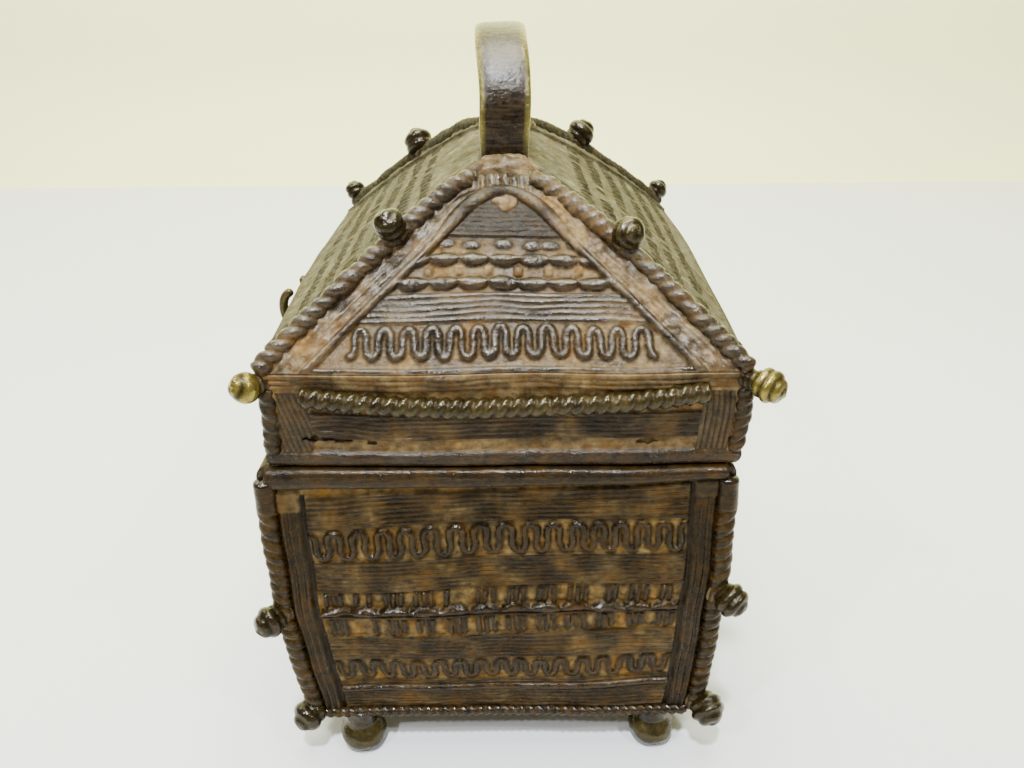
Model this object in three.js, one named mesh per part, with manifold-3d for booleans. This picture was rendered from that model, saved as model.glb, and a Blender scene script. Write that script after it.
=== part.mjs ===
// A small cast brass casket: a hollow body on four ball feet and a loose, hollow, house-shaped lid
// with a strap handle. Millimetres, X across, Y along the ridge, Z up from the surface it stands on.
import * as THREE from "three";
import { mergeVertices } from "three/addons/utils/BufferGeometryUtils.js";
import Module from "manifold-3d";

const wasm = await Module();
wasm.setup();

// ---- Driving dimensions ----

const wall = 3; // thickness of the cast walls and floor
const seam = 0.3; // gap between the lid and the rim that it rests on
const weldTolerance = 1e-3;
const rodFacets = 8;
const lineFacets = 6; // of the thinner rods

const body = {
  underside: 11, // height of the floor's underside
  height: 77,
  halfWidth: 47.9, // of the walls at the underside
  halfLength: 58.4,
  taper: 1.7, // how much further out each wall stands at the rim
  swell: 1.4, // extra bulge, most at mid-height
  lean: 1, // how far the upper part leans to the left
  leanTurn: 0.7 * Math.PI, // angle of the sine that the lean follows, at the rim
  steps: 5, // facets up the height
};
const bodyTop = body.underside + body.height;

// The loose lid is kept in place by a low lip that stands inside its skirt.
const lip = { rise: 3.5, depth: 3.5, thickness: 1.6, clearance: 0.8 };

const lid = {
  skirt: 21.9, // from the bottom edge up to the eave
  halfWidth: 49.6, // at the eave
  halfLength: 60,
  shift: 0.8, // how far to the right of the body's middle it sits
  flare: 0.4, // how much further out the eave stands than the bottom edge
  rise: 32, // from the eave up to the ridge
  ridgeHalfWidth: 5.6, // of the flat strip that carries the handle
  ridgeHalfLength: 29,
  fullness: 1.2, // 1 gives flat slopes, more gives rounder ones
  bow: 1.8, // how far each long eave bows out at mid-length
  facetsUp: 6, // rows of facets, of which the skirt takes one
  facetsAlong: 4,
  drop: 1.4, // how much lower the inner slope lies, at the eave and at the ridge
  ridgeDrop: 3.2,
};
const lidBottom = bodyTop + seam;
const eave = lidBottom + lid.skirt;
const ridge = eave + lid.rise;

const cornerStrip = { width: 4.6, inset: 4.6, proud: 0.7, top: 6.5, bottom: 77 };
const cornerRope = { radius: 2, offset: 0.3, top: 6, bottom: 74 };
const rim = { halfHeight: 2.6, proud: 1.1 };
// Flat raised panels on each wall, as distances down from the rim, with bands of low relief between.
const panels = [
  { top: 6, bottom: 14.2, proud: 0.6 },
  { top: 24, bottom: 32.4, proud: 0.6 },
  { top: 39, bottom: 41, proud: 0.8 },
  { top: 48, bottom: 55, proud: 0.6 },
  { top: 65.2, bottom: 67.4, proud: 1.3 },
  { top: 67.4, bottom: 77, proud: 0.6 },
];
const panelInset = 7.6; // from the wall's corner to the panel's end
const footRope = { radius: 1.1, down: 76.2 };

// Foot profile as radius and height, from its flat spot up to the stub under the floor.
const footProfile = [
  [0, 0],
  [2.4, 0],
  [5, 0.9],
  [6.3, 3.1],
  [6.1, 4.9],
  [4.9, 6.6],
  [3.6, 7.8],
  [3.6, 12.5],
  [0, 12.5],
];
const footSides = 10;
// Middle of each foot in X and Y.
const feet = [
  [-37.2, -57.6],
  [38.8, -56.4],
  [38, 56.8],
  [-38, 57],
];
// Signs of X and Y at the four corners.
const corners = [
  [-1, -1],
  [1, -1],
  [1, 1],
  [-1, 1],
];

// Corner knobs on short stems: corner signs in X and Y, height, radius, and how far the middle of
// the ball stands out from the corner, both in X and in Y.
const bodyKnobs = [
  { x: -1, y: -1, z: 47.4, radius: 3.9, out: 3.2 },
  { x: 1, y: -1, z: 53, radius: 4, out: 3.2 },
  { x: 1, y: 1, z: 49, radius: 3.9, out: 3.2 },
  { x: -1, y: 1, z: 50.6, radius: 4, out: 3.2 },
  { x: -1, y: -1, z: 12.4, radius: 4.3, out: 1.9 },
  { x: 1, y: -1, z: 15.2, radius: 4.4, out: 3.2 },
  { x: 1, y: 1, z: 13.4, radius: 4.3, out: 2.8 },
  { x: -1, y: 1, z: 14, radius: 4.3, out: 2.8 },
];
// The near pair of eave knobs points outwards and the far pair stands up on the hips.
const eaveKnobs = [
  { x: -1, y: -1, z: eave - 1.8, radius: 3.3, out: 2.3 },
  { x: 1, y: -1, z: eave - 1.6, radius: 3.7, out: 3.1 },
];
// Hip knobs: corner signs, how far up the slope from 0 to 1, and radius.
const hipKnobs = [
  { x: -1, y: -1, up: 0.64, radius: 3.5 },
  { x: 1, y: -1, up: 0.59, radius: 3.5 },
  { x: 1, y: 1, up: 0.65, radius: 3.4 },
  { x: -1, y: 1, up: 0.57, radius: 3.5 },
  { x: 1, y: 1, up: 0.05, radius: 3.3 },
  { x: -1, y: 1, up: 0.06, radius: 3.3 },
];
const knobStand = 4; // from the hip to the middle of its knob
const stemRadius = 2.1;
const stemRoot = 1.5; // depth of the stem's inner end in the metal

// The eave rope hangs lower at mid-length than at its ends, and `out` places its middle.
const eaveRope = { radius: 1.6, middle: 7.4, ends: 4.7, inset: 8.5, out: 0.5 };
const bottomRoll = { halfHeight: 1.9, proud: 1, sideProud: 1.5, inset: 1, down: 20 };
const skirtSteps = 4; // facets along the rope and the roll
const skirtRope = { radius: 1.7, top: 5, bottom: 18.5, offset: -0.7 };
const skirtStrip = { inset: 3.6, width: 6.6, proud: 0.6, top: 8.5, bottom: 18 };
const hipRope = { radius: 1.65, start: 0.03, end: 0.95, stand: 0.8, steps: 4 };
const hipOutwards = { across: 0.5, up: 0.7 }; // direction in which things stand out from a hip
// Raised ridges beside each hip, on both slopes.
const hipRidge = { radius: 1.15, inset: 9.4, low: 0.01, high: 0.8, steps: 3 };
// Raised lines across the slopes, from 0 at the eave to 1 at the ridge.
const endLines = [0.36, 0.5];
const longLines = [0.1, 0.36, 0.52, 0.68];
const lineRadius = 0.8;
const lineInset = 11; // from the hip to the line's end

const handle = {
  width: 11.6, // of the strap, across the ridge
  footWidth: 10.6,
  thickness: 3,
  span: 41, // outside, along the ridge
  height: 28.3,
  legs: 8, // height of the upright legs below the arch
  sink: 1.6, // depth of its feet in the ridge
  softness: 0.9, // width of the rounded edges
  shift: 0.5, // sideways at the feet
  lean: 0.05, // towards the left, for each millimetre of height
  curve: 0.7, // how far its middle bends back to the right
  archSegments: 9, // in each curve of the arch
};

// A bowed upright bar on a stub, and a short peg, on the lid's left side.
const clasp = {
  y: -11,
  radius: 1.15,
  bar: [
    [-53.7, 109],
    [-55.7, 107.4],
    [-56.7, 104.6],
    [-56.5, 101.2],
    [-54.8, 97.6],
    [-50.2, 95.4],
  ],
  barSteps: 8,
  stub: [
    [-48.6, 102.6],
    [-56.4, 103.6],
  ],
  stubRadius: 1.3,
  pegY: -1.5,
  peg: [
    [-48.6, 107],
    [-54.4, 108.2],
  ],
  pegRadius: 0.9,
  pegBall: 1.4,
};

// ---- Building blocks ----

const up = new THREE.Vector3(0, 0, 1);
const point = (x, y, z) => new THREE.Vector3(x, y, z);

function toSolid(geometry) {
  const bare = geometry.clone();
  bare.deleteAttribute("normal");
  bare.deleteAttribute("uv");
  const merged = mergeVertices(bare, weldTolerance);
  return new wasm.Manifold(
    new wasm.Mesh({
      numProp: 3,
      vertProperties: merged.attributes.position.array,
      triVerts: new Uint32Array(merged.index.array),
    }),
  );
}

function toMesh(name, solid, material) {
  const data = solid.getMesh();
  const geometry = new THREE.BufferGeometry();
  geometry.setAttribute("position", new THREE.BufferAttribute(data.vertProperties, 3));
  geometry.setIndex(new THREE.BufferAttribute(data.triVerts, 1));
  geometry.computeVertexNormals();
  const mesh = new THREE.Mesh(geometry, material);
  mesh.name = name;
  return mesh;
}

// Moves every vertex of a geometry with the given function.
function morph(geometry, move) {
  const positions = geometry.attributes.position;
  const v = new THREE.Vector3();
  for (let i = 0; i < positions.count; i++) {
    v.fromBufferAttribute(positions, i);
    move(v);
    positions.setXYZ(i, v.x, v.y, v.z);
  }
  return geometry;
}

const joined = (solids) => solids.reduce((whole, next) => whole.add(next));

// A box whose top and bottom are given as heights.
function block(width, length, low, high, steps = 1) {
  const box = new THREE.BoxGeometry(width, length, high - low, 1, 1, steps);
  return box.translate(0, 0, (low + high) / 2);
}

// A round or oval rod along a smooth path. The two radii differ only on level, straight rods,
// where the first is upright and the second points outwards.
function rod(points, radius, steps = 1, secondRadius = radius, facets = rodFacets) {
  const section = new THREE.Shape().absellipse(0, 0, radius, secondRadius, 0, 2 * Math.PI, false, 0);
  return new THREE.ExtrudeGeometry(section, {
    steps,
    curveSegments: facets / 2,
    extrudePath: new THREE.CatmullRomCurve3(points),
  });
}

// A ball on a stem that starts inside the metal behind it.
function knob(root, centre, radius) {
  const ball = new THREE.SphereGeometry(radius, 8, 5).translate(centre.x, centre.y, centre.z);
  return toSolid(ball).add(toSolid(rod([root, centre], stemRadius, 1, stemRadius, lineFacets)));
}

// The four sides, numbered from the near end and then to the right: turns a place given as
// across, outwards and up on that side into one in the casket's frame.
const sides = [0, 1, 2, 3];
const onSide = (side, across, out, z) =>
  point(across, -out, z).applyAxisAngle(up, (side * Math.PI) / 2);
const turnToSide = (side, geometry) => geometry.rotateZ((side * Math.PI) / 2);
const isEnd = (side) => side % 2 === 0;

// ---- Body ----

// The walls widen towards the rim, swell at mid-height and lean a little to the left.
function shapeBody(v) {
  const s = THREE.MathUtils.clamp((v.z - body.underside) / body.height, 0, 1);
  const grow = body.taper * s + body.swell * Math.sin(Math.PI * s);
  v.x *= 1 + grow / body.halfWidth;
  v.y *= 1 + grow / body.halfLength;
  v.x -= body.lean * Math.sin(body.leanTurn * s);
}
const bodySolid = (geometry) => toSolid(morph(geometry, shapeBody));
const bodyReach = (side) => (isEnd(side) ? body.halfLength : body.halfWidth);
const bodySpan = (side) => (isEnd(side) ? body.halfWidth : body.halfLength);

function bodyBox(inset, low, high, steps) {
  const width = 2 * (body.halfWidth - inset);
  const length = 2 * (body.halfLength - inset);
  return bodySolid(block(width, length, low, high, steps));
}

function bodyLip() {
  const outer = lid.flare + wall + lip.clearance;
  const inner = outer + lip.thickness;
  const foot = bodyBox(wall - 1, bodyTop - lip.depth, bodyTop, 1);
  const ring = (inset, low, high) => {
    const width = 2 * (lid.halfWidth - inset);
    const length = 2 * (lid.halfLength - inset);
    return toSolid(block(width, length, low, high).translate(lid.shift, 0, 0));
  };
  const stand = ring(outer, bodyTop - lip.depth, bodyTop + lip.rise);
  const mouth = ring(inner, bodyTop - 2 * lip.depth, bodyTop + 2 * lip.rise);
  return foot.add(stand).subtract(mouth);
}

// A slab standing a little proud of one wall.
function wallSlab(side, across, width, low, high, proud, steps) {
  const slab = block(width, 2 * proud, low, high, steps).translate(across, -bodyReach(side), 0);
  return bodySolid(turnToSide(side, slab));
}

function wallRelief(side) {
  const reach = bodyReach(side);
  const span = bodySpan(side);
  const rolled = rod(
    [-1, 1].map((end) => onSide(side, end * span, reach, bodyTop - rim.halfHeight)),
    rim.halfHeight,
    1,
    rim.proud,
  );
  const foot = rod(
    [-1, 1].map((end) => onSide(side, end * span, reach, bodyTop - footRope.down)),
    footRope.radius,
  );
  const strips = [-1, 1].map((end) =>
    wallSlab(
      side,
      end * (span - cornerStrip.inset),
      cornerStrip.width,
      bodyTop - cornerStrip.bottom,
      bodyTop - cornerStrip.top,
      cornerStrip.proud,
      body.steps,
    ),
  );
  const slabs = panels.map((p) =>
    wallSlab(side, 0, 2 * (span - panelInset), bodyTop - p.bottom, bodyTop - p.top, p.proud, 2),
  );
  return joined([bodySolid(rolled), bodySolid(foot), ...strips, ...slabs]);
}

function cornerRopeAt(x, y) {
  const heights = Array.from({ length: body.steps + 1 }, (_, i) =>
    THREE.MathUtils.lerp(bodyTop - cornerRope.bottom, bodyTop - cornerRope.top, i / body.steps),
  );
  const path = heights.map((z) => {
    const v = point(
      x * (body.halfWidth + cornerRope.offset),
      y * (body.halfLength + cornerRope.offset),
      z,
    );
    shapeBody(v);
    return v;
  });
  return toSolid(rod(path, cornerRope.radius, body.steps));
}

function bodyKnob(k) {
  const root = point(k.x * (body.halfWidth - stemRoot), k.y * (body.halfLength - stemRoot), k.z);
  shapeBody(root);
  const reach = k.out + stemRoot;
  const centre = root.clone().add(point(k.x * reach, k.y * reach, 0));
  return knob(root, centre, k.radius);
}

function foot([x, y]) {
  const profile = footProfile.map(([r, z]) => new THREE.Vector2(r, z));
  const ball = new THREE.LatheGeometry(profile, footSides).rotateX(Math.PI / 2);
  return toSolid(ball.translate(x, y, 0));
}

function makeBody() {
  const outside = bodyBox(0, body.underside, bodyTop, body.steps);
  const inside = bodyBox(wall, body.underside + wall, bodyTop + wall, body.steps);
  const relief = [
    ...sides.map(wallRelief),
    ...corners.map(([x, y]) => cornerRopeAt(x, y)),
    ...bodyKnobs.map(bodyKnob),
    ...feet.map(foot),
  ];
  return joined([outside, ...relief]).subtract(inside).add(bodyLip());
}

// ---- Lid ----

// Half-width, half-length and height of the roof, from 0 at the eave to 1 at the ridge.
function roofLevel(t) {
  const capped = Math.min(t, 1);
  return {
    halfWidth: THREE.MathUtils.lerp(lid.halfWidth, lid.ridgeHalfWidth, t),
    halfLength: THREE.MathUtils.lerp(lid.halfLength, lid.ridgeHalfLength, t),
    z: eave + lid.rise * (1 - (1 - capped) ** lid.fullness),
  };
}
const bowAt = (share, t) => lid.bow * (1 - share * share) * (1 - t);

function lidShell(inset, bottom, drop, ridgeDrop) {
  const shell = new THREE.BoxGeometry(2, 2, 1, 2, lid.facetsAlong, lid.facetsUp);
  const skirtShare = 1 / lid.facetsUp;
  return toSolid(
    morph(shell.translate(0, 0, 0.5), (v) => {
      const t = Math.max(0, (v.z - skirtShare) / (1 - skirtShare));
      const level = roofLevel(t);
      const low = Math.min(1, v.z / skirtShare);
      const flare = lid.flare * (1 - low);
      v.z =
        t > 0
          ? level.z - THREE.MathUtils.lerp(drop, ridgeDrop, t)
          : THREE.MathUtils.lerp(bottom, eave - drop, low);
      v.x *= Math.max(level.halfWidth + bowAt(v.y, t) - flare - inset, 1);
      v.y *= level.halfLength - flare - inset;
    }),
  );
}

// A point on a slope: across it, and up it from 0 to 1.
function onRoof(side, across, t) {
  const level = roofLevel(t);
  const span = isEnd(side) ? level.halfWidth : level.halfLength;
  const reach = isEnd(side) ? level.halfLength : level.halfWidth + bowAt(across / span, t);
  return onSide(side, across, reach, level.z);
}

function hipPoint(x, y, t, stand) {
  const level = roofLevel(t);
  const outwards = point(x * hipOutwards.across, y * hipOutwards.across, hipOutwards.up);
  const corner = point(x * level.halfWidth, y * level.halfLength, level.z);
  return corner.add(outwards.multiplyScalar(stand));
}

function hip(x, y) {
  const steps = hipRope.steps;
  const path = Array.from({ length: steps + 1 }, (_, i) =>
    hipPoint(x, y, THREE.MathUtils.lerp(hipRope.start, hipRope.end, i / steps), hipRope.stand),
  );
  return toSolid(rod(path, hipRope.radius, steps));
}

// The raised ridges that run beside the hips, one at each edge of a slope.
function hipRidgeOn(side, end) {
  const steps = hipRidge.steps;
  const path = Array.from({ length: steps + 1 }, (_, i) => {
    const t = THREE.MathUtils.lerp(hipRidge.low, hipRidge.high, i / steps);
    const level = roofLevel(t);
    const span = isEnd(side) ? level.halfWidth : level.halfLength;
    return onRoof(side, end * (span - hipRidge.inset), t);
  });
  return toSolid(rod(path, hipRidge.radius, steps, hipRidge.radius, lineFacets));
}

function roofLine(side, t) {
  const level = roofLevel(t);
  const span = (isEnd(side) ? level.halfWidth : level.halfLength) - lineInset;
  const steps = isEnd(side) ? 1 : 2;
  const path = Array.from({ length: steps + 1 }, (_, i) =>
    onRoof(side, THREE.MathUtils.lerp(-span, span, i / steps), t),
  );
  return toSolid(rod(path, lineRadius, steps, lineRadius, lineFacets));
}

function skirtRelief(side) {
  const reach = isEnd(side) ? lid.halfLength : lid.halfWidth;
  const span = isEnd(side) ? lid.halfWidth : lid.halfLength;
  const bow = (across) => (isEnd(side) ? 0 : bowAt(across / span, 0));
  const route = (halfSpan, out, height) =>
    Array.from({ length: skirtSteps + 1 }, (_, i) => {
      const across = THREE.MathUtils.lerp(-halfSpan, halfSpan, i / skirtSteps);
      return onSide(side, across, reach + bow(across) + out, height(across / halfSpan));
    });
  const sag = (share) => eave - THREE.MathUtils.lerp(eaveRope.middle, eaveRope.ends, share * share);
  const rope = rod(route(span - eaveRope.inset, eaveRope.out, sag), eaveRope.radius, skirtSteps);
  const level = eave - bottomRoll.down;
  const roll = rod(
    route(span - bottomRoll.inset, -lid.flare, () => level),
    bottomRoll.halfHeight,
    skirtSteps,
    isEnd(side) ? bottomRoll.proud : bottomRoll.sideProud,
  );
  const top = eave - skirtStrip.top;
  const bottom = eave - skirtStrip.bottom;
  const strips = [-1, 1].map((end) => {
    const middle = end * (span - skirtStrip.inset - skirtStrip.width / 2);
    const slab = block(skirtStrip.width, 2 * skirtStrip.proud, bottom, top);
    return toSolid(turnToSide(side, slab.translate(middle, -(reach + bow(middle)), 0)));
  });
  return joined([toSolid(rope), toSolid(roll), ...strips]);
}

function skirtCorner(x, y) {
  const corner = (z) =>
    point(x * (lid.halfWidth + skirtRope.offset), y * (lid.halfLength + skirtRope.offset), z);
  return toSolid(rod([corner(eave - skirtRope.bottom), corner(eave - skirtRope.top)], skirtRope.radius));
}

function eaveKnob(k) {
  const root = point(k.x * (lid.halfWidth - stemRoot), k.y * (lid.halfLength - stemRoot), k.z);
  const reach = k.out + stemRoot;
  return knob(root, root.clone().add(point(k.x * reach, k.y * reach, 0)), k.radius);
}

function hipKnob(k) {
  return knob(hipPoint(k.x, k.y, k.up, -stemRoot), hipPoint(k.x, k.y, k.up, knobStand), k.radius);
}

// The strap: an arch drawn in its own plane and given the strap's width, with softened edges.
function makeHandle() {
  const outerSpan = handle.span / 2 - handle.softness;
  const innerSpan = outerSpan - handle.thickness + 2 * handle.softness;
  const outerRise = handle.height - handle.legs - handle.softness;
  const innerRise = outerRise - handle.thickness + 2 * handle.softness;
  const arch = new THREE.Shape();
  arch.moveTo(outerSpan, -handle.sink);
  arch.lineTo(outerSpan, handle.legs);
  arch.absellipse(0, handle.legs, outerSpan, outerRise, 0, Math.PI, false, 0);
  arch.lineTo(-outerSpan, -handle.sink);
  arch.lineTo(-innerSpan, -handle.sink);
  arch.lineTo(-innerSpan, handle.legs);
  arch.absellipse(0, handle.legs, innerSpan, innerRise, Math.PI, 0, true, 0);
  arch.lineTo(innerSpan, -handle.sink);
  const strap = new THREE.ExtrudeGeometry(arch, {
    depth: handle.width - 2 * handle.softness,
    curveSegments: handle.archSegments,
    bevelThickness: handle.softness,
    bevelSize: handle.softness,
    bevelSegments: 1,
  });
  strap.translate(0, 0, handle.softness - handle.width / 2);
  strap.rotateX(Math.PI / 2).rotateZ(Math.PI / 2);
  return toSolid(
    morph(strap, (v) => {
      const share = THREE.MathUtils.smoothstep(v.z, 0, handle.height / 2);
      v.x *= THREE.MathUtils.lerp(handle.footWidth / handle.width, 1, share);
      v.x += handle.shift - handle.lean * v.z;
      v.x += handle.curve * Math.sin((Math.PI * Math.max(v.z, 0)) / handle.height);
      v.z += ridge;
    }),
  );
}

function makeClasp() {
  const along = (y, places) => places.map(([x, z]) => point(x, y, z));
  const peg = along(clasp.pegY, clasp.peg);
  const tip = peg[1];
  return [
    toSolid(rod(along(clasp.y, clasp.bar), clasp.radius, clasp.barSteps)),
    toSolid(rod(along(clasp.y, clasp.stub), clasp.stubRadius)),
    toSolid(rod(peg, clasp.pegRadius)),
    toSolid(new THREE.SphereGeometry(clasp.pegBall, 8, 6).translate(tip.x, tip.y, tip.z)),
  ];
}

function makeLid() {
  const outside = lidShell(0, lidBottom, 0, 0);
  const inside = lidShell(wall, lidBottom - wall, lid.drop, lid.ridgeDrop);
  const relief = [
    ...sides.map(skirtRelief),
    ...corners.map(([x, y]) => hip(x, y)),
    ...corners.map(([x, y]) => skirtCorner(x, y)),
    ...sides.flatMap((side) => [-1, 1].map((end) => hipRidgeOn(side, end))),
    ...sides.flatMap((side) => (isEnd(side) ? endLines : longLines).map((t) => roofLine(side, t))),
    ...eaveKnobs.map(eaveKnob),
    ...hipKnobs.map(hipKnob),
    makeHandle(),
    ...makeClasp(),
  ];
  return joined([outside, ...relief]).subtract(inside);
}

// ---- Scene graph ----

const brass = new THREE.MeshStandardMaterial({ color: 0x4a3826, roughness: 0.38, metalness: 0.85 });

const bodyMesh = toMesh("casket_body", makeBody(), brass);
const lidMesh = toMesh("lid", makeLid(), brass.clone());
lidMesh.position.x = lid.shift;

const casket = new THREE.Group();
casket.add(bodyMesh, lidMesh);

// The origin is below the middle of the whole casket's box.
const box = new THREE.Box3().setFromObject(casket);
const middle = box.getCenter(new THREE.Vector3());
casket.position.set(-middle.x, -middle.y, -box.min.z);

export default casket;
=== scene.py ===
import bpy, bmesh, math
import numpy as np
from mathutils import Matrix, Vector


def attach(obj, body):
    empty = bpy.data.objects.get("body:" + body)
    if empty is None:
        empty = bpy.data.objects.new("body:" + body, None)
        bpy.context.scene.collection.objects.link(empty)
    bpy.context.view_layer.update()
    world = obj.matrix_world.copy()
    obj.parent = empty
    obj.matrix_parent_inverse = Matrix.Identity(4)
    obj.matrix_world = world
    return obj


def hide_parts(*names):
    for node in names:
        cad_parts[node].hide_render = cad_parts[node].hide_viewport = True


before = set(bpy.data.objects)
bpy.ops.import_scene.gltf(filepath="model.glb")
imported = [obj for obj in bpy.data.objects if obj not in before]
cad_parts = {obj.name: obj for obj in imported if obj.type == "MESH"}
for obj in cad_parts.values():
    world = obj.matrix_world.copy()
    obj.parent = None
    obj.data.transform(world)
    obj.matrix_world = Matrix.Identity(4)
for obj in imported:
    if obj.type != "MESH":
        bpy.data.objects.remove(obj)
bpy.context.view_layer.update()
print("frame loaded")

# everything is worked out in mm, in the casket's own frame, and moved by this to the row frame
rowShift = np.array([0.4959, 0.0196, 0.0])

box = {
    "underside": 11.0, "height": 77.0, "halfWidth": 47.9, "halfLength": 58.4,
    "taper": 1.7, "swell": 1.4, "lean": 1.0, "wall": 3.0,
}
roof = {
    "bottom": 88.3, "eave": 110.2, "rise": 32.0, "halfWidth": 49.6, "halfLength": 60.0,
    "ridgeHalfWidth": 5.6, "ridgeHalfLength": 29.0, "fullness": 1.2, "bow": 1.8, "flare": 0.4, "shift": 0.8,
}
boxTop = box["underside"] + box["height"]
threadPitch = 1.16  # one rolled wax thread


def lerp(a, b, t):
    return a + (b - a) * t


def smooth(t):
    t = np.clip(t, 0, 1)
    return t * t * (3 - 2 * t)


def ridged(f, k):  # a round ridge over each whole step
    return 1 - (2 * (f - k) - 1) ** 2


def wobble(x, y, size, seed):  # soft random hills between -1 and 1
    table = np.random.default_rng(seed).uniform(-1, 1, (64, 64))
    gx, gy = np.asarray(x) / size + 1000.3, np.asarray(y) / size + 1000.7
    ix, iy = np.floor(gx).astype(int), np.floor(gy).astype(int)
    fx, fy = smooth(gx - ix), smooth(gy - iy)
    low = lerp(table[ix % 64, iy % 64], table[(ix + 1) % 64, iy % 64], fx)
    high = lerp(table[ix % 64, (iy + 1) % 64], table[(ix + 1) % 64, (iy + 1) % 64], fx)
    return lerp(low, high, fy)


def handMade(p):  # the whole casting is a little out of true
    x, y, z = p[:, 0].copy(), p[:, 1].copy(), p[:, 2].copy()
    p[:, 0] += 0.22 * np.sin(z / 6.1 + y / 23) + 0.14 * np.sin(z / 3.3 - y / 9 + 2)
    p[:, 1] += 0.2 * np.sin(x / 11 + z / 9 + 1) + 0.12 * np.sin(x / 5.2 + z / 17)
    p[:, 2] += 0.16 * np.sin(x / 7.5 + y / 12) * smooth((z - 12) / 8)
    return p


def turned(side, across, out, z):  # sides count from the near end, then to the right
    a = side * math.pi / 2
    c, s = math.cos(a), math.sin(a)
    return np.stack([across * c + out * s, across * s - out * c, z], -1)


def spanReach(shape, side):  # half a side's length, and how far out it stands
    sizes = shape["halfWidth"], shape["halfLength"]
    return sizes if side % 2 == 0 else sizes[::-1]


def shapeBox(p):
    s = np.clip((p[:, 2] - box["underside"]) / box["height"], 0, 1)
    grow = box["taper"] * s + box["swell"] * np.sin(np.pi * s)
    p[:, 0] *= 1 + grow / box["halfWidth"]
    p[:, 1] *= 1 + grow / box["halfLength"]
    p[:, 0] -= box["lean"] * np.sin(0.7 * np.pi * s)
    return p


def roofLevel(t):
    t = np.asarray(t, float)
    z = roof["eave"] + roof["rise"] * (1 - (1 - np.clip(t, 0, 1)) ** roof["fullness"])
    halfWidth = lerp(roof["halfWidth"], roof["ridgeHalfWidth"], t)
    return halfWidth, lerp(roof["halfLength"], roof["ridgeHalfLength"], t), z


def onRoof(side, share, t, out):  # share runs from -1 to 1 across the slope
    halfWidth, halfLength, z = roofLevel(t)
    if side % 2 == 0:
        span, reach = halfWidth, halfLength
        run = roof["halfLength"] - roof["ridgeHalfLength"]
    else:
        span, reach = halfLength, halfWidth + roof["bow"] * (1 - share**2) * (1 - t)
        run = roof["halfWidth"] - roof["ridgeHalfWidth"]
    climb = roof["rise"] * roof["fullness"] * np.clip(1 - t, 0.02, 1) ** (roof["fullness"] - 1)
    length = np.hypot(run, climb)
    p = turned(side, share * span, reach + out * climb / length, z + out * run / length)
    p[:, 0] += roof["shift"]
    return p


def hipPoint(x, y, t, stand):
    halfWidth, halfLength, z = roofLevel(t)
    across = x * (halfWidth + stand * 0.5) + roof["shift"]
    return np.stack([across, y * (halfLength + stand * 0.5), z + stand * 0.7], -1)


# meshes from a grid, wrapped or draped

def toObject(name, mesh, material):
    data = bpy.data.meshes.new(name)
    mesh.to_mesh(data)
    mesh.free()
    data.materials.append(material)
    data.polygons.foreach_set("use_smooth", [True] * len(data.polygons))
    thing = bpy.data.objects.new(name, data)
    bpy.context.collection.objects.link(thing)
    return thing


def toPiece(name, mesh, material):
    piece = toObject(name, mesh, material)
    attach(piece, "root")
    return piece


def drape(name, columns, rows, place, material, closed=False):
    # place gives each point of the grid, and its relief with painted shade, clay and wear
    mesh = bmesh.new()
    bmesh.ops.create_grid(mesh, x_segments=columns, y_segments=rows, size=1.0)
    if not closed:  # the sheet gets edges and a back that stay inside the metal
        rim = bmesh.ops.extrude_edge_only(mesh, edges=[e for e in mesh.edges if e.is_boundary])
        low = [g for g in rim["geom"] if isinstance(g, bmesh.types.BMVert)]
        bmesh.ops.translate(mesh, verts=low, vec=(0, 0, -1))
        bmesh.ops.holes_fill(mesh, edges=[e for e in mesh.edges if e.is_boundary], sides=0)
        bmesh.ops.recalc_face_normals(mesh, faces=mesh.faces)
    piece = toPiece(name, mesh, material)
    data = piece.data
    co = np.empty(len(data.vertices) * 3)
    data.vertices.foreach_get("co", co)
    co = co.reshape(-1, 3)
    i = np.rint((co[:, 0] + 1) / 2 * columns).astype(int)
    j = np.rint((co[:, 1] + 1) / 2 * rows).astype(int)
    points, looks = place(i, j, co[:, 2] < -0.5)
    points = (handMade(points) + rowShift) * 0.001
    data.vertices.foreach_set("co", points.ravel())
    for key, value in zip(("reliefAndShade", "clay", "wear"), looks):
        layer = data.attributes.new(key, "FLOAT", "POINT")
        layer.data.foreach_set("value", np.clip(value + 0 * points[:, 0], 0, 1).astype(np.float32))
    if closed:
        mesh = bmesh.new()
        mesh.from_mesh(data)
        bmesh.ops.remove_doubles(mesh, verts=mesh.verts, dist=2e-6)
        bmesh.ops.dissolve_degenerate(mesh, edges=mesh.edges, dist=1e-7)
        bmesh.ops.recalc_face_normals(mesh, faces=mesh.faces)
        mesh.to_mesh(data)
        mesh.free()
    data.update()
    return piece


def wrap(name, around, rows, place, material):  # a grid closed round on itself
    def turn(i, j, back):
        return place(np.where(i == around, 0, i) / around * 2 * math.pi, j)

    return drape(name, around, rows, turn, material, closed=True)


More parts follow.
